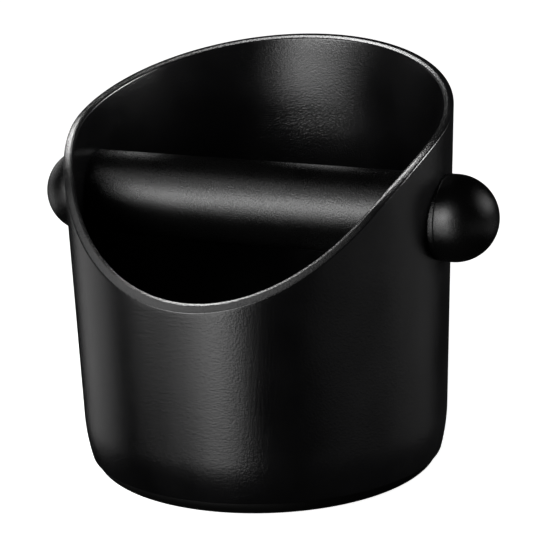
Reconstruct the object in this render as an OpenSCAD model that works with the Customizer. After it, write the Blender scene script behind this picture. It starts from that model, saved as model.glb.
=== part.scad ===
// Espresso knock box: a round tapered bin with a slanted rim, a foot ring and a
// rubber-covered bar that crosses the bin and ends in a knob on each side.
// Origin: centre of the foot ring's resting face. +Z up, bar along X, low rim towards -Y.

/* [Bin wall] */
// Outer radius of the straight wall line carried down to the table
wall_r = 60.4; // [50:0.1:70]
// Outward lean of the wall from vertical, degrees
draft = 1.94; // [0.5:0.02:4]
// Thickness of the moulded wall
wall_t = 3.2; // [2:0.1:4]
// Thickness of the bin's floor
floor_t = 3.2; // [2.6:0.1:5]
// Height at which the rounded lower edge begins
belly_h = 20; // [14:0.5:30]
// Radius of the rounded lower edge
belly_r = 65; // [40:1:90]
// Radius of the rounding inside, where wall and floor meet
inner_round = 14; // [6:0.5:20]

/* [Slanted rim] */
// Slope of the front part of the rim, degrees
front_slope = 44.4; // [30:0.1:50]
// Slope of the back part of the rim, degrees
back_slope = 14.8; // [5:0.1:20]
// Y of the corner where the two slopes would meet
corner_y = -20.4; // [-30:0.1:-10]
// Height of that corner
corner_z = 111.2; // [105:0.1:125]
// Radius that blends the two slopes
rim_blend = 76.5; // [40:0.5:100]

/* [Foot ring] */
// Height of the visible band of the foot ring
foot_h = 5.6; // [4:0.1:7]
// Outer radius at the seam under the bin
foot_top_r = 57.9; // [55:0.1:58]
// Outer radius of the flat that rests on the table
foot_rest_r = 50.3; // [48:0.1:54]
// Inner radius of the foot ring
foot_in_r = 44; // [36:0.5:46]
// Depth of the groove that holds the ring's tongue
tongue_h = 1.5; // [1:0.1:2]
// Width of that tongue
tongue_w = 3; // [2:0.1:5]

/* [Knock bar] */
// Height of the bar's axis
bar_z = 88.3; // [84:0.1:95]
// Distance of the bar's axis behind the bin's axis
bar_y = 4; // [0:0.1:6]
// Radius of the rubber sleeve
sleeve_r = 14; // [12:0.1:14.1]
// Radial clearance of the sleeve in the wall holes
hole_clear = 0.1; // [0.02:0.01:0.1]
// Radius of the steel core
core_r = 5; // [4:0.5:6]
// Length of core that each knob takes
core_grip = 10; // [7:0.5:11]

/* [Knobs] */
// Radius of the round knobs
knob_r = 14.3; // [14.25:0.05:16]
// X of the left knob's centre
left_knob_x = -64.8; // [-68:0.1:-64.8]
// X of the right knob's centre
right_knob_x = 67.1; // [67.1:0.1:70]
// Skirt between the left knob's centre and its flat back
left_skirt = 0.5; // [0.1:0.1:0.5]
// Skirt between the right knob's centre and its flat back
right_skirt = 2.8; // [0.1:0.1:2.8]
// Radius of the hard insert inside each knob
insert_r = 8.2; // [7:0.1:9]

/* [Hidden] */
$fn = 96;
reach = 100;
arc_steps = 10;
rim_steps = 24;
rib_h = 0.7;
rib_w = 1.6;
insert_wall = 1.2;
edge = 0.8;
part_gap = 0.3;
slip_fit = 0.05;
lean = tan(draft);
floor_z = foot_h + floor_t;
left_face = left_knob_x + left_skirt;
right_face = right_knob_x - right_skirt;
insert_len = core_grip + insert_wall;
tongue_r = (foot_rest_r + foot_in_r) / 2 + tongue_w;

// Outer radius of the bin's straight wall at height z
function wall_at(z) = wall_r + lean * z;

// Points of an arc about c, from angle a0 to a1
function arc(c, r, a0, a1, n = arc_steps) =
    [for (i = [0:n]) let (a = a0 + (a1 - a0) * i / n) [c[0] + r * cos(a), c[1] + r * sin(a)]];

// Outer outline of the bin, tall enough for the rim cut
module outer_outline() {
    c = [wall_at(belly_h) - belly_r * cos(draft), belly_h + belly_r * sin(draft)];
    low = asin((foot_h - c[1]) / belly_r);
    polygon(concat(
        [[0, reach * 1.5], [0, foot_h]],
        arc(c, belly_r, low, -draft),
        [[wall_at(reach * 1.5), reach * 1.5]]));
}

// Hollow of the bin, open at the top
module inner_outline() {
    cz = floor_z + inner_round;
    cx = wall_at(cz) - wall_t - inner_round / cos(draft);
    top = reach * 1.6;
    polygon(concat(
        [[0, top], [0, floor_z]],
        arc([cx, cz], inner_round, -90, -draft),
        [[wall_at(top) - wall_t, top]]));
}

// Side outline that lies under the rim: two slopes and the arc that blends them
module under_rim() {
    run = rim_blend * tan((front_slope - back_slope) / 2);
    centre = [corner_y - run * cos(front_slope) + rim_blend * sin(front_slope),
              corner_z - run * sin(front_slope) - rim_blend * cos(front_slope)];
    polygon(concat(
        [[-reach, -reach], [-reach, corner_z - (reach + corner_y) * tan(front_slope)]],
        arc(centre, rim_blend, 90 + front_slope, 90 + back_slope, rim_steps),
        [[reach, corner_z + (reach - corner_y) * tan(back_slope)], [reach, -reach]]));
}

// A solid of revolution about the bar's axis, drawn with X along the bar
module on_bar() {
    translate([0, bar_y, bar_z]) rotate([0, 90, 0]) children();
}

// Foot ring's tongue, also the groove that it sits in
module tongue(h) {
    translate([0, 0, foot_h]) difference() {
        cylinder(r = tongue_r, h = h);
        translate([0, 0, -1]) cylinder(r = tongue_r - tongue_w, h = h + 2);
    }
}

// Hard insert's outside: a cylinder with two grip ribs, mouth at z = 0
module insert_shape() {
    cylinder(r = insert_r, h = insert_len);
    for (z = [insert_len * 0.3, insert_len * 0.7])
        translate([0, 0, z - rib_w / 2]) cylinder(r = insert_r + rib_h, h = rib_w);
}

// Knob with its flat back at z = 0 and a cavity for the insert
module knob(skirt) {
    difference() {
        union() {
            cylinder(r = knob_r, h = skirt);
            translate([0, 0, skirt]) intersection() {
                sphere(r = knob_r);
                cylinder(r = knob_r + 1, h = knob_r + 1);
            }
        }
        insert_shape();
    }
}

// Insert with a blind bore for the core, mouth at z = 0
module insert(clearance) {
    difference() {
        insert_shape();
        translate([0, 0, -1]) cylinder(r = core_r + clearance, h = core_grip + 1);
    }
}

// Moulded bin with its floor, slanted rim, two bar holes and the groove for the foot ring
module bin_body() {
    color("#1b1b1c") difference() {
        intersection() {
            rotate_extrude() outer_outline();
            rotate([90, 0, 90]) linear_extrude(2 * reach, center = true) under_rim();
        }
        rotate_extrude() inner_outline();
        on_bar() cylinder(r = sleeve_r + hole_clear, h = 2 * reach, center = true);
        tongue(tongue_h);
    }
}

// Rubber foot ring: rounded outside, flat below, tongue above
module base_ring() {
    color("#101011") union() {
        rotate_extrude() polygon(concat(
            [[foot_in_r, foot_h], [foot_in_r, 0]],
            [for (i = [0:arc_steps]) let (a = 90 * i / arc_steps)
                [foot_rest_r + (foot_top_r - foot_rest_r) * sin(a), foot_h * (1 - cos(a))]]));
        tongue(tongue_h);
    }
}

// Steel core, chamfered at both ends
module bar_core() {
    start = left_face - core_grip + part_gap;
    length = right_face + core_grip - start;
    color("#a8abae") on_bar() translate([0, 0, start]) rotate_extrude() polygon([
        [0, 0], [core_r - edge, 0], [core_r, edge],
        [core_r, length - edge], [core_r - edge, length], [0, length]]);
}

// Thick rubber sleeve bonded to the core; it runs in the holes of both walls
module bar_sleeve() {
    start = left_face + part_gap;
    length = right_face - start;
    color("#161617") on_bar() translate([0, 0, start]) rotate_extrude() polygon([
        [core_r, 0], [sleeve_r - edge, 0], [sleeve_r, edge], [sleeve_r, length], [core_r, length]]);
}

// Round rubber knob that pushes onto the left end of the core
module left_knob() {
    color("#131314") on_bar() translate([0, 0, left_face]) mirror([0, 0, 1]) knob(left_skirt);
}

// Round rubber knob fixed to the right end, by which the bar is drawn out
module right_knob() {
    color("#131314") on_bar() translate([0, 0, right_face]) knob(right_skirt);
}

// Hard socket inside the left knob, an easy slide on the core
module left_knob_insert() {
    color("#3a3a3c") on_bar() translate([0, 0, left_face]) mirror([0, 0, 1]) insert(slip_fit);
}

// Hard socket inside the right knob, pressed on the core
module right_knob_insert() {
    color("#3a3a3c") on_bar() translate([0, 0, right_face]) insert(0);
}

bin_body();
base_ring();
bar_core();
bar_sleeve();
left_knob();
right_knob();
left_knob_insert();
right_knob_insert();
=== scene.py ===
"""Looks of the espresso knock box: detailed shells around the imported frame, materials, light and camera."""
import math

import bmesh
import bpy
from mathutils import Matrix, Vector


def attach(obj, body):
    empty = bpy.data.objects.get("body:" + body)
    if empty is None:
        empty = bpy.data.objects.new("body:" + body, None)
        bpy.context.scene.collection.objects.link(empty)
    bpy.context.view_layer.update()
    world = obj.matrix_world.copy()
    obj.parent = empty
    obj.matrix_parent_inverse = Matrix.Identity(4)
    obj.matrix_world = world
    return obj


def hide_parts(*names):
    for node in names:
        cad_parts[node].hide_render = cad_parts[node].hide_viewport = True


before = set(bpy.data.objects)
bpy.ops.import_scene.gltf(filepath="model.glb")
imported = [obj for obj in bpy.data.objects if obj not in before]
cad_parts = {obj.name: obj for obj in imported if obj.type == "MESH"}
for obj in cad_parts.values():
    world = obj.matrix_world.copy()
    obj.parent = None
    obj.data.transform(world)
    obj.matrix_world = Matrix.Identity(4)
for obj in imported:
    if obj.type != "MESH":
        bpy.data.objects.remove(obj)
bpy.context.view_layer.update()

MM = 0.001
# Sizes of the design in millimetres, the same as in the CAD source
WALL_R, DRAFT = 60.4, math.radians(1.94)
WALL_T, FLOOR_T = 3.2, 3.2
BELLY_H, BELLY_R, INNER_ROUND = 20, 65, 14
FRONT_SLOPE, BACK_SLOPE = math.radians(44.4), math.radians(14.8)
CORNER_Y, CORNER_Z, RIM_BLEND = -20.4, 111.2, 76.5
FOOT_H, FOOT_TOP_R, FOOT_REST_R, FOOT_IN_R = 5.6, 57.9, 50.3, 44
TONGUE_H, TONGUE_W = 1.5, 3
BAR_Z, BAR_Y, SLEEVE_R, HOLE_CLEAR = 88.3, 4, 14, 0.1
CORE_R, CORE_GRIP, KNOB_R = 5, 10, 14.3
LEFT_SKIRT, RIGHT_SKIRT = 0.5, 2.8
LEFT_FACE, RIGHT_FACE = -64.3, 64.3
INSERT_R, INSERT_LEN, RIB_H, RIB_W = 8.2, 11.2, 0.7, 1.6
PART_GAP, SLIP_FIT, CORE_CHAMFER = 0.3, 0.05, 0.8
LEAN = math.tan(DRAFT)
FLOOR_Z = FOOT_H + FLOOR_T
TONGUE_R = (FOOT_REST_R + FOOT_IN_R) / 2 + TONGUE_W

# Details that the CAD leaves out, lengths in millimetres
RIM_EDGE_R = 0.5                    # rounding of the rim's outer edge
RIM_BAND = 1.9                      # depth of the flat band inside the outer wall
RIM_TURN = math.radians(15)         # fall of the polished band inside the ridge
RIM_SOFT_R = 1.2                    # rounding of the ridge
RIM_INNER_R = 1.0                   # rounding of the inner edge
RIM_INNER_REACH = 0.5               # most that this rounding takes from either face
GATE_R, GATE_DEPTH = 3.2, 0.5       # recess round the moulding gate under the bin
GRIP_GROOVES = (45.6, 47.1, 48.6)   # radii of the grooves under the foot ring
GROOVE_DEPTH = 0.35
GROOVE_HALF, GROOVE_FLAT = 0.35, 0.2    # half widths of a groove at its mouth and at its bottom
SOCKET_LEAD = 0.5                   # chamfer at the mouth of a socket's bore

# Fineness of the meshes, and the searches for points on the rim
BIN_COLUMNS, TURNED_COLUMNS, SOCKET_COLUMNS = 288, 128, 96
SHARP_ANGLE = math.radians(32)
POLE_R = 1e-6                       # a ring smaller than this is one point on the axis
RIM_PASSES = 60                     # rounds that bring a point of the wall onto the rim's surface
SEARCH_DEPTH, SEARCH_HALVINGS = 12.0, 40
SHELL, POLISHED, INSIDE = 0, 1, 2   # material slots of the bin's skin

# Base colours, the darkest and the lightest of each material
PLASTIC_BLACKS = (0.0012, 0.0012, 0.0013), (0.0026, 0.0026, 0.0028)
RUBBER_BLACKS = (0.0012, 0.0012, 0.0012), (0.0026, 0.0026, 0.0026)
SOCKET_GREYS = (0.035, 0.035, 0.038), (0.05, 0.05, 0.055)
STEEL_GREYS = (0.50, 0.51, 0.52), (0.60, 0.61, 0.62)
FLOOR_WHITES = (0.90, 0.90, 0.90), (0.93, 0.93, 0.93)

# How far off most lights stand, and the point they face, in metres
LIGHT_DISTANCE = 0.9
LIGHT_AIM = (0, 0, 0.07)


# ---------------------------------------------------------------- mesh helpers

def fillet(corner, d_in, d_out, radius, steps):
    """Points of the arc that rounds a corner between two unit directions."""
    turn = d_in.angle(d_out)
    length = radius * math.tan(turn / 2)
    side = (d_out - d_in * math.cos(turn)) / math.sin(turn)
    centre = corner - d_in * length + side * radius
    return [centre - side * radius * math.cos(turn * i / steps) + d_in * radius * math.sin(turn * i / steps)
            for i in range(steps + 1)]


def outline(*corners):
    """A 2-D outline with rounded corners: each corner is (a, b) or (a, b, radius)."""
    points = [Vector((c[0], c[1], 0)) for c in corners]
    made = []
    for i, c in enumerate(corners):
        radius = c[2] if len(c) > 2 else 0
        if radius:
            d_in = (points[i] - points[i - 1]).normalized()
            d_out = (points[i + 1] - points[i]).normalized()
            made += fillet(points[i], d_in, d_out, radius, 6)
        else:
            made.append(points[i])
    return [(p.x, p.y) for p in made]


def arc(centre, radius, start, end, steps):
    """Points of a 2-D arc, angles in degrees."""
    angles = [math.radians(start + (end - start) * i / steps) for i in range(steps + 1)]
    return [(centre[0] + radius * math.cos(a), centre[1] + radius * math.sin(a)) for a in angles]


def refine(points, longest):
    """The outline with extra points, so that no straight stretch is longer than longest."""
    made = [points[0]]
    for a, b in zip(points, points[1:]):
        parts = max(1, math.ceil(math.dist(a, b) / longest))
        made += [(a[0] + (b[0] - a[0]) * k / parts, a[1] + (b[1] - a[1]) * k / parts)
                 for k in range(1, parts + 1)]
    return made


def skin(name, rows, closed_loop=False, zones=None):
    """Mesh object over rows of points, each a ring of columns or a single pole point."""
    bm = bmesh.new()
    rings = [[bm.verts.new(Vector(p) * MM) for p in row] for row in rows]
    pairs = list(zip(rings, rings[1:]))
    if closed_loop:
        pairs.append((rings[-1], rings[0]))
    for k, (low, high) in enumerate(pairs):
        columns = max(len(low), len(high))
        for j in range(columns):
            n = (j + 1) % columns
            corners = [low[j % len(low)], low[n % len(low)], high[n % len(high)], high[j % len(high)]]
            face = bm.faces.new(list(dict.fromkeys(corners)))
            face.material_index = zones[k] if zones else 0
    bmesh.ops.recalc_face_normals(bm, faces=bm.faces)
    mesh = bpy.data.meshes.new(name)
    bm.to_mesh(mesh)
    bm.free()
    smooth(mesh)
    piece = bpy.data.objects.new(name, mesh)
    bpy.context.scene.collection.objects.link(piece)
    return piece


def smooth(mesh):
    """Smooth shading with creases only at real edges."""
    mesh.shade_smooth()
    mesh.set_sharp_from_angle(angle=SHARP_ANGLE)


def turned(name, points, place, closed_loop=False, columns=TURNED_COLUMNS, longest=2.5):
    """Solid of revolution: points are (along, radius); place puts (along, c, s) into the row frame."""
    if closed_loop:
        points = points + [points[0]]
    points = refine(points, longest)
    if closed_loop:
        points = points[:-1]
    angles = [2 * math.pi * j / columns for j in range(columns)]
    rows = []
    for along, radius in points:
        if radius < POLE_R:
            rows.append([place(along, 0, 0)])
        else:
            rows.append([place(along, radius * math.cos(a), radius * math.sin(a)) for a in angles])
    return skin(name, rows, closed_loop)


def upright(along, c, s):
    """Turned about the bin's axis."""
    return (c, s, along)


def from_face(face, outward):
    """Turned about the bar's axis, measured outward from a knob's flat back."""
    return lambda along, c, s: (face + outward * along, BAR_Y + c, BAR_Z + s)


# ---------------------------------------------------------------- bin

def wall_at(z):
    """Outer radius of the bin's straight wall at height z."""
    return WALL_R + LEAN * z


def rim_shape(y):
    """Height and slope angle of the rim's surface at y."""
    run = RIM_BLEND * math.tan((FRONT_SLOPE - BACK_SLOPE) / 2)
    cy = CORNER_Y - run * math.cos(FRONT_SLOPE) + RIM_BLEND * math.sin(FRONT_SLOPE)
    cz = CORNER_Z - run * math.sin(FRONT_SLOPE) - RIM_BLEND * math.cos(FRONT_SLOPE)
    if y < cy - RIM_BLEND * math.sin(FRONT_SLOPE):
        return CORNER_Z + (y - CORNER_Y) * math.tan(FRONT_SLOPE), FRONT_SLOPE
    if y > cy - RIM_BLEND * math.sin(BACK_SLOPE):
        return CORNER_Z + (y - CORNER_Y) * math.tan(BACK_SLOPE), BACK_SLOPE
    slope = math.asin((cy - y) / RIM_BLEND)
    return cz + RIM_BLEND * math.cos(slope), slope


def reach_depth(start, direction, depth):
    """Point along direction that lies depth inside the bin's outer wall."""
    near, far = 0.0, SEARCH_DEPTH
    for _ in range(SEARCH_HALVINGS):
        middle = (near + far) / 2
        p = start + direction * middle
        if wall_at(p.z) - math.hypot(p.x, p.y) < depth:
            near = middle
        else:
            far = middle
    return start + direction * near


def rim_section(angle):
    """The rim's section at one angle: points of its outer edge, its ridge and its inner edge."""
    z = CORNER_Z
    for _ in range(RIM_PASSES):
        z = rim_shape(wall_at(z) * math.sin(angle))[0]
    edge = Vector((wall_at(z) * math.cos(angle), wall_at(z) * math.sin(angle), z))
    slope = rim_shape(edge.y)[1]
    wall_normal = Vector((math.cos(angle), math.sin(angle), -LEAN)).normalized()
    rim_normal = Vector((0, -math.sin(slope), math.cos(slope)))
    along = rim_normal.cross(wall_normal).normalized()
    up_wall = wall_normal.cross(along).normalized()
    inward = rim_normal.cross(along).normalized()
    falling = inward * math.cos(RIM_TURN) - rim_normal * math.sin(RIM_TURN)
    ridge = reach_depth(edge, inward, RIM_BAND)
    lip = reach_depth(ridge, falling, WALL_T)
    bearing = math.atan2(lip.y, lip.x)
    inner_normal = Vector((-math.cos(bearing), -math.sin(bearing), LEAN)).normalized()
    down_wall = inner_normal.cross(along).normalized()
    lip_r = min(RIM_INNER_R, RIM_INNER_REACH / math.tan(falling.angle(down_wall) / 2))
    return (fillet(edge, up_wall, inward, RIM_EDGE_R, 5),
            fillet(ridge, inward, falling, RIM_SOFT_R, 4),
            fillet(lip, falling, down_wall, lip_r, 8))


def between(low_r, low_z, angle, top, offset, steps):
    """Points of one column on a straight wall, from a low ring to a point of the rim's section."""
    bearing = math.atan2(top.y, top.x)
    turn = (bearing - angle + math.pi) % (2 * math.pi) - math.pi
    made = []
    for k in range(1, steps):
        share = k / steps
        z = low_z + (top.z - low_z) * share
        a = angle + turn * share ** 3
        r = wall_at(z) - offset
        made.append(Vector((r * math.cos(a), r * math.sin(a), z)))
    return made


def ring_points(angle, points):
    """Points (radius, height) placed at one angle round the bin's axis."""
    return [Vector((r * math.cos(angle), r * math.sin(angle), z)) for r, z in points]


def bin_columns():
    """Columns of the bin's skin, up the outside and down the inside, and each row's material slot."""
    belly_c = (wall_at(BELLY_H) - BELLY_R * math.cos(DRAFT), BELLY_H + BELLY_R * math.sin(DRAFT))
    low = math.degrees(math.asin((FOOT_H - belly_c[1]) / BELLY_R))
    belly = arc(belly_c, BELLY_R, low, -math.degrees(DRAFT), 10)
    seam_r = belly[0][0]
    inner_z = FLOOR_Z + INNER_ROUND
    inner_c = (wall_at(inner_z) - WALL_T - INNER_ROUND / math.cos(DRAFT), inner_z)
    groove_in, groove_top = TONGUE_R - TONGUE_W, FOOT_H + TONGUE_H
    under = refine(outline((GATE_R, FOOT_H + GATE_DEPTH), (GATE_R, FOOT_H, 0.2), (groove_in, FOOT_H),
                           (groove_in, groove_top), (TONGUE_R, groove_top), (TONGUE_R, FOOT_H),
                           (seam_r, FOOT_H, 0.3), belly[1]), 6)[:-1]
    inside = refine(arc(inner_c, INNER_ROUND, -math.degrees(DRAFT), -90, 12) + [(4, FLOOR_Z)], 5)
    columns = []
    for j in range(BIN_COLUMNS):
        angle = 2 * math.pi * (j + 0.5) / BIN_COLUMNS
        base = ring_points(angle, under + belly[1:])
        outer, ridge, inner = rim_section(angle)
        wall = between(*belly[-1], angle, outer[0], 0, 30)
        hollow = between(*inside[0], angle, inner[-1], WALL_T, 26)[::-1]
        floor = ring_points(angle, inside)
        columns.append(base + wall + outer + ridge + inner + hollow + floor)
    zones = ([SHELL] * (len(base + wall) + 1) + [POLISHED] * (len(outer) - 1) + [SHELL]
             + [POLISHED] * (len(ridge + inner) - 1) + [INSIDE] * (len(hollow + floor) + 1))
    return columns, zones


def build_bin():
    """Moulded bin: a closed skin of revolution under a slanted rim, with the bar's two holes cut."""
    columns, zones = bin_columns()
    rows = [list(row) for row in zip(*columns)]
    rows = [[Vector((0, 0, rows[0][0].z))]] + rows + [[Vector((0, 0, FLOOR_Z))]]
    piece = skin("bin_shell", rows, zones=zones)
    cutter = turned("hole_cutter", [(-2 * WALL_R, 0), (-2 * WALL_R, SLEEVE_R + HOLE_CLEAR),
                                    (2 * WALL_R, SLEEVE_R + HOLE_CLEAR), (2 * WALL_R, 0)],
                    from_face(0, 1), longest=200)
    cut = piece.modifiers.new("bar_holes", "BOOLEAN")
    cut.operation, cut.solver, cut.object = "DIFFERENCE", "EXACT", cutter
    bpy.context.view_layer.update()
    holed = bpy.data.meshes.new_from_object(piece.evaluated_get(bpy.context.evaluated_depsgraph_get()))
    piece.modifiers.clear()
    piece.data = holed
    bpy.data.objects.remove(cutter)
    smooth(holed)
    return piece


# ---------------------------------------------------------------- ring, bar and knobs

def build_ring():
    """Foot ring: rounded outside, a flat rest with three shallow grip grooves, a tongue above."""
    width, steps = FOOT_TOP_R - FOOT_REST_R, 16
    side = [(FOOT_H * (1 - math.cos(a)), FOOT_REST_R + width * math.sin(a))
            for a in [math.radians(90 * i / steps) for i in range(1, steps)]]
    rest = [(0, FOOT_IN_R + 0.4)]
    for groove in GRIP_GROOVES:
        rest += [(0, groove - GROOVE_HALF), (GROOVE_DEPTH, groove - GROOVE_FLAT),
                 (GROOVE_DEPTH, groove + GROOVE_FLAT), (0, groove + GROOVE_HALF)]
    top = outline((FOOT_H - 0.5, FOOT_TOP_R), (FOOT_H, FOOT_TOP_R, 0.25), (FOOT_H, TONGUE_R),
                  (FOOT_H + TONGUE_H, TONGUE_R, 0.3), (FOOT_H + TONGUE_H, TONGUE_R - TONGUE_W, 0.3),
                  (FOOT_H, TONGUE_R - TONGUE_W), (FOOT_H, FOOT_IN_R, 0.4), (0.4, FOOT_IN_R))
    return turned("foot_ring", rest + [(0, FOOT_REST_R)] + side + top[1:], upright, True, BIN_COLUMNS)


def build_sleeve():
    """Thick rubber sleeve with soft ends and the bore for the core."""
    length = RIGHT_FACE - LEFT_FACE - PART_GAP
    points = outline((0, CORE_R), (0, SLEEVE_R, 0.9), (length, SLEEVE_R, 0.25), (length, CORE_R))
    return turned("rubber_sleeve", points, from_face(LEFT_FACE + PART_GAP, 1), True, longest=2)


def build_core():
    """Steel core, chamfered at both ends."""
    start = LEFT_FACE - CORE_GRIP + PART_GAP
    length = RIGHT_FACE + CORE_GRIP - start
    tip_r = CORE_R - CORE_CHAMFER
    points = outline((0, 0), (0, tip_r, 0.15), (CORE_CHAMFER, CORE_R, 0.3),
                     (length - CORE_CHAMFER, CORE_R, 0.3), (length, tip_r, 0.15), (length, 0))
    return turned("steel_core", points, from_face(start, 1), longest=4)


def insert_side():
    """Outside of the hard insert from its mouth to its closed end: a cylinder with two ribs."""
    made = [(0, INSERT_R)]
    for centre in (INSERT_LEN * 0.3, INSERT_LEN * 0.7):
        made += [(centre - RIB_W / 2, INSERT_R), (centre - RIB_W / 2, INSERT_R + RIB_H),
                 (centre + RIB_W / 2, INSERT_R + RIB_H), (centre + RIB_W / 2, INSERT_R)]
    return made + [(INSERT_LEN, INSERT_R), (INSERT_LEN, 0)]


def build_insert(name, face, outward, clearance):
    """Hard socket in a knob, with a lead-in chamfer at the mouth of its bore."""
    bore = CORE_R + clearance
    mouth = [(CORE_GRIP, 0), (CORE_GRIP, bore), (SOCKET_LEAD, bore), (0, bore + SOCKET_LEAD)]
    return turned(name, mouth + insert_side(), from_face(face, outward), columns=SOCKET_COLUMNS)


def build_knob(name, face, outward, skirt):
    """Round knob with a soft edge at its flat back and the cavity that the insert fills."""
    back = outline((0, INSERT_R), (0, KNOB_R, min(0.4, skirt * 0.8)), (skirt, KNOB_R))
    ball = arc((skirt, 0), KNOB_R, 90, 0, 40)
    points = insert_side()[::-1] + back[1:] + ball[1:-1] + [(skirt + KNOB_R, 0)]
    return turned(name, points, from_face(face, outward), longest=1.5)


# ---------------------------------------------------------------- materials

class Nodes:
    """A material's node tree with short calls to add and join nodes."""

    def __init__(self, name):
        self.material = bpy.data.materials.new(name)
        self.material.use_nodes = True
        self.tree = self.material.node_tree
        self.shader = self.tree.nodes["Principled BSDF"]
        self.place = self.add("ShaderNodeTexCoord").outputs["Object"]

    def add(self, kind, **settings):
        """A new node with its settings."""
        node = self.tree.nodes.new(kind)
        for key, value in settings.items():
            setattr(node, key, value)
        return node

    def feed(self, socket, value):
        """Joins a socket to another one, or gives it a plain value."""
        if isinstance(value, bpy.types.NodeSocket):
            self.tree.links.new(value, socket)
        else:
            socket.default_value = value

    def stretched(self, x, y, z):
        """Object coordinates scaled along each axis."""
        node = self.add("ShaderNodeMapping")
        self.feed(node.inputs["Vector"], self.place)
        node.inputs["Scale"].default_value = (x, y, z)
        return node.outputs["Vector"]

    def noise(self, size, detail=2.0, roughness=0.5, vector=None):
        """Noise whose features are about size millimetres across."""
        node = self.add("ShaderNodeTexNoise")
        self.feed(node.inputs["Vector"], vector or self.place)
        node.inputs["Scale"].default_value = 1 / (size * MM)
        node.inputs["Detail"].default_value = detail
        node.inputs["Roughness"].default_value = roughness
        return node.outputs["Fac"]

    def cells(self, size):
        """Distance to the nearest cell centre, cells about size millimetres across."""
        node = self.add("ShaderNodeTexVoronoi", feature="SMOOTH_F1")
        self.feed(node.inputs["Vector"], self.place)
        node.inputs["Scale"].default_value = 1 / (size * MM)
        return node.outputs["Distance"]

    def spread(self, value, low, high, start=0.3, end=0.7):
        """value from start to end becomes low to high."""
        node = self.add("ShaderNodeMapRange")
        self.feed(node.inputs["Value"], value)
        for key, number in zip(("From Min", "From Max", "To Min", "To Max"), (start, end, low, high)):
            node.inputs[key].default_value = number
        return node.outputs["Result"]

    def math(self, operation, a, b):
        """Result of one sum, product or other operation."""
        node = self.add("ShaderNodeMath", operation=operation)
        self.feed(node.inputs[0], a)
        self.feed(node.inputs[1], b)
        return node.outputs["Value"]

    def tint(self, factor, dark, light):
        """Colour between dark and light."""
        node = self.add("ShaderNodeMix", data_type="RGBA")
        self.feed(node.inputs["Factor"], factor)
        node.inputs["A"].default_value = (*dark, 1)
        node.inputs["B"].default_value = (*light, 1)
        return node.outputs["Result"]

    def relief(self, height, depth):
        """Bump of depth millimetres for a height from 0 to 1."""
        node = self.add("ShaderNodeBump")
        node.inputs["Distance"].default_value = depth * MM
        self.feed(node.inputs["Height"], height)
        self.feed(self.shader.inputs["Normal"], node.outputs["Normal"])

    def finish(self, colour, roughness, specular=0.5, metallic=0.0):
        """Feeds the shader's main inputs and returns the material."""
        self.feed(self.shader.inputs["Base Color"], colour)
        self.feed(self.shader.inputs["Roughness"], roughness)
        self.shader.inputs["Specular IOR Level"].default_value = specular
        self.shader.inputs["Metallic"].default_value = metallic
        return self.material


def moulded_plastic(name, grain, depth, roughness, specular=0.5, shades=PLASTIC_BLACKS):
    """Moulded ABS: spark-textured grain, faint flow clouds and handling polish."""
    n = Nodes(name)
    fine = n.noise(grain, 3.0, 0.62)
    pits = n.spread(n.cells(grain * 1.5), 0, 1, 0.1, 0.6)
    height = n.math("ADD", n.math("MULTIPLY", fine, 0.65), n.math("MULTIPLY", pits, 0.35))
    clouds = n.noise(28, 3.0, 0.55)
    rubbed = n.noise(7, 4.0, 0.6, n.stretched(1.0, 1.0, 0.35))
    speck = n.spread(fine, -0.03, 0.05)
    uneven = n.math("ADD", n.spread(clouds, -0.025, 0.03), n.spread(rubbed, -0.015, 0.02))
    n.relief(height, depth)
    return n.finish(n.tint(n.spread(clouds, 0, 1), *shades),
                    n.math("ADD", n.math("ADD", speck, uneven), roughness), specular)


def rubber(name, grain, depth, roughness, specular=0.5):
    """Black moulded rubber: fine even grain, slow shading from the mould and a trace of dust."""
    n = Nodes(name)
    fine = n.noise(grain, 4.0, 0.65)
    soft = n.noise(grain * 9, 2.0, 0.5)
    clouds = n.noise(22, 3.0, 0.55)
    dust = n.spread(n.noise(1.1, 5.0, 0.7), 0, 1, 0.66, 0.8)
    height = n.math("ADD", n.math("MULTIPLY", fine, 0.8), n.math("MULTIPLY", soft, 0.2))
    n.relief(height, depth)
    shade = n.math("ADD", n.spread(clouds, 0, 0.7), n.math("MULTIPLY", dust, 0.3))
    rough = n.math("ADD", n.spread(fine, roughness - 0.03, roughness + 0.04), n.spread(clouds, -0.02, 0.03))
    return n.finish(n.tint(shade, *RUBBER_BLACKS), rough, specular)


def ground_steel(name):
    """Bright ground bar: fine rings round the axis, slightly uneven shine."""
    n = Nodes(name)
    rings = n.noise(0.9, 5.0, 0.7, n.stretched(6.0, 0.4, 0.4))
    clouds = n.noise(12, 3.0, 0.6)
    n.relief(rings, 0.006)
    return n.finish(n.tint(n.spread(clouds, 0, 1), *STEEL_GREYS), n.spread(rings, 0.20, 0.34), metallic=1.0)


def dress(piece, body, slot, *materials, node=None):
    """Gives a piece its materials and its body, and hides the CAD part that it stands for; slot is not used.
    """
    piece.data.materials.clear()
    for m in materials:
        piece.data.materials.append(m)
    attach(piece, body)
    if node:
        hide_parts(node)


# ---------------------------------------------------------------- stage, light and camera

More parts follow.
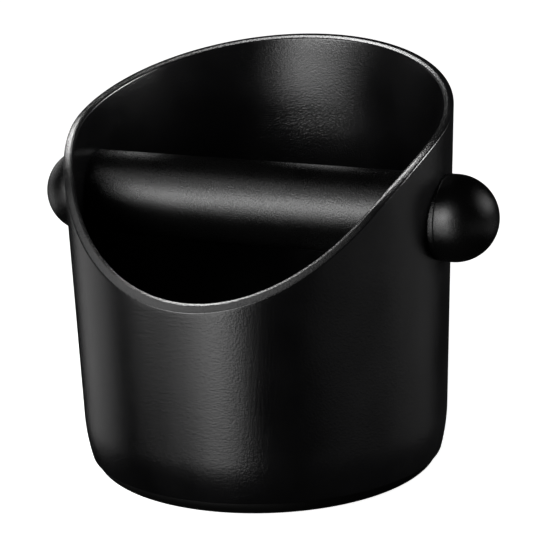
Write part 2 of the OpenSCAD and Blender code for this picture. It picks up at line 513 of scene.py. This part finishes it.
def make_floor():
    """Plain pale floor, seen only from above, that throws no light on the object."""
    n = Nodes("pale_floor")
    clouds = n.noise(160, 3.0, 0.5)
    n.relief(n.noise(2.5, 3.0, 0.6), 0.02)
    n.finish(n.tint(n.spread(clouds, 0, 1), *FLOOR_WHITES), 0.8, specular=0.2)
    n.shader.inputs["Emission Color"].default_value = (1, 1, 1, 1)
    n.shader.inputs["Emission Strength"].default_value = 0.95
    clear = n.add("ShaderNodeBsdfTransparent")
    side = n.add("ShaderNodeNewGeometry").outputs["Backfacing"]
    pick = n.add("ShaderNodeMixShader")
    n.feed(pick.inputs[0], side)
    n.feed(pick.inputs[1], n.shader.outputs[0])
    n.feed(pick.inputs[2], clear.outputs[0])
    n.feed(n.tree.nodes["Material Output"].inputs["Surface"], pick.outputs[0])
    half = 6.0
    corners = [(-half, -half, 0), (half, -half, 0), (half, half, 0), (-half, half, 0)]
    mesh = bpy.data.meshes.new("floor")
    mesh.from_pydata(corners, [], [(0, 1, 2, 3)])
    mesh.materials.append(n.material)
    floor = bpy.data.objects.new("floor", mesh)
    bpy.context.scene.collection.objects.link(floor)
    floor.visible_glossy = floor.visible_diffuse = floor.visible_shadow = False


def bearing(azimuth, elevation):
    """Unit vector from the object towards an azimuth and elevation, in degrees."""
    a, e = math.radians(azimuth), math.radians(elevation)
    return Vector((math.sin(a) * math.cos(e), -math.cos(a) * math.cos(e), math.sin(e)))


def softbox(name, azimuth, elevation, size, power, distance=LIGHT_DISTANCE, aim=LIGHT_AIM):
    """Rectangular soft light that faces the object; power in watts."""
    data = bpy.data.lights.new(name, "AREA")
    data.shape, data.size, data.size_y, data.energy = "RECTANGLE", size[0], size[1], power
    lamp = bpy.data.objects.new(name, data)
    lamp.location = Vector(aim) + bearing(azimuth, elevation) * distance
    lamp.rotation_euler = bearing(azimuth, elevation).to_track_quat("Z", "Y").to_euler()
    lamp.visible_camera = False
    bpy.context.scene.collection.objects.link(lamp)
    return lamp


def make_world():
    """White surroundings for the camera, dim ones for the object's own light."""
    world = bpy.data.worlds.new("studio")
    bpy.context.scene.world = world
    world.use_nodes = True
    nodes, links = world.node_tree.nodes, world.node_tree.links
    seen = nodes.new("ShaderNodeBackground")
    seen.inputs["Color"].default_value = (1, 1, 1, 1)
    dim = nodes["Background"]
    dim.inputs["Color"].default_value = (1, 1, 1, 1)
    dim.inputs["Strength"].default_value = 0.006
    pick = nodes.new("ShaderNodeMixShader")
    links.new(nodes.new("ShaderNodeLightPath").outputs["Is Camera Ray"], pick.inputs[0])
    links.new(dim.outputs[0], pick.inputs[1])
    links.new(seen.outputs[0], pick.inputs[2])
    links.new(pick.outputs[0], nodes["World Output"].inputs["Surface"])


def make_camera():
    """Camera at the product's viewing angle."""
    azimuth, elevation, roll = 23.78, 16.20, math.radians(-1.90)
    distance, target = 0.9376, Vector((0, 0, 0.0625))
    back = bearing(azimuth, elevation)
    level = Vector((math.cos(math.radians(azimuth)), math.sin(math.radians(azimuth)), 0))
    right = level * math.cos(roll) + back.cross(level) * math.sin(roll)
    up = back.cross(right)
    data = bpy.data.cameras.new("camera")
    data.lens, data.sensor_width = 190.3, 36.0
    data.shift_x, data.shift_y = 0.0087, 0.0275
    camera = bpy.data.objects.new("camera", data)
    facing = Matrix((right, up, back)).transposed().to_4x4()
    camera.matrix_world = Matrix.Translation(target + back * distance) @ facing
    bpy.context.scene.collection.objects.link(camera)
    bpy.context.scene.camera = camera


# ---------------------------------------------------------------- scene

make_camera()
make_world()
make_floor()
bpy.context.scene.view_settings.view_transform = "Standard"

# Azimuth 0 is the front and grows to the right; the low lights stand below the floor's level
softbox("key", -19, 17, (0.60, 0.48), 8.8)
softbox("low_right", -3, -14, (0.32, 0.34), 1.3)
softbox("low_middle", -22, -12, (0.34, 0.30), 0.7)
softbox("low_left", -46, -10, (0.36, 0.26), 0.5)
softbox("left_side", -98, -14, (0.62, 0.35), 0.38)
softbox("front_top", -57, 60, (0.10, 0.10), 0.07, 0.22, (-0.01, -0.062, 0.072))
softbox("right_wide", 84, -12, (1.0, 0.4), 0.16)
softbox("right_low", 128, -15, (0.6, 0.32), 0.11)
softbox("right_rear", 124, 20, (0.5, 0.4), 1.1)
softbox("left_rear", -120, 10, (0.6, 0.4), 0.45)
rim_left = softbox("rim_left", -125, 58, (0.28, 0.28), 4.6)
rim_right = softbox("rim_right", 112, 18, (0.4, 0.4), 13.0)

# Grain size and depth in millimetres, then roughness
shell_abs = moulded_plastic("shell_abs", 0.36, 0.07, 0.18)
polished_abs = moulded_plastic("polished_abs", 0.7, 0.004, 0.11, specular=1.0)
inside_abs = moulded_plastic("inside_abs", 0.40, 0.11, 0.22)
bar_rubber = rubber("bar_rubber", 0.50, 0.17, 0.27)
knob_rubber = rubber("knob_rubber", 0.45, 0.13, 0.25)
foot_rubber = rubber("foot_rubber", 0.5, 0.05, 0.45, specular=0.15)
steel = ground_steel("ground_steel")
socket_plastic = moulded_plastic("socket_plastic", 0.6, 0.01, 0.4, shades=SOCKET_GREYS)

bin_shell = build_bin()
dress(bin_shell, "bin", "abs_shell", shell_abs, polished_abs, inside_abs, node="bin_body")
dress(build_ring(), "bin", "foot_rubber", foot_rubber, node="base_ring")
dress(build_sleeve(), "knock_bar", "sleeve_rubber", bar_rubber, node="bar_sleeve")
dress(build_core(), "knock_bar", "core_steel", steel, node="bar_core")

# Side, body, flat back's X, outward direction, skirt and the socket's play on the core
ENDS = (("left", "left_end", LEFT_FACE, -1, LEFT_SKIRT, SLIP_FIT),
        ("right", "knock_bar", RIGHT_FACE, 1, RIGHT_SKIRT, 0))
for side, body, face, outward, skirt, play in ENDS:
    knob = build_knob(f"{side}_rubber_knob", face, outward, skirt)
    dress(knob, body, "knob_rubber", knob_rubber, node=f"{side}_knob")
    socket = build_insert(f"{side}_knob_socket", face, outward, play)
    dress(socket, body, "insert_plastic", socket_plastic, node=f"{side}_knob_insert")

# The two rim lights shine on the bin alone
rim_lit = bpy.data.collections.new("rim_lit")
rim_lit.objects.link(bin_shell)
for lamp in (rim_left, rim_right):
    lamp.light_linking.receiver_collection = rim_lit
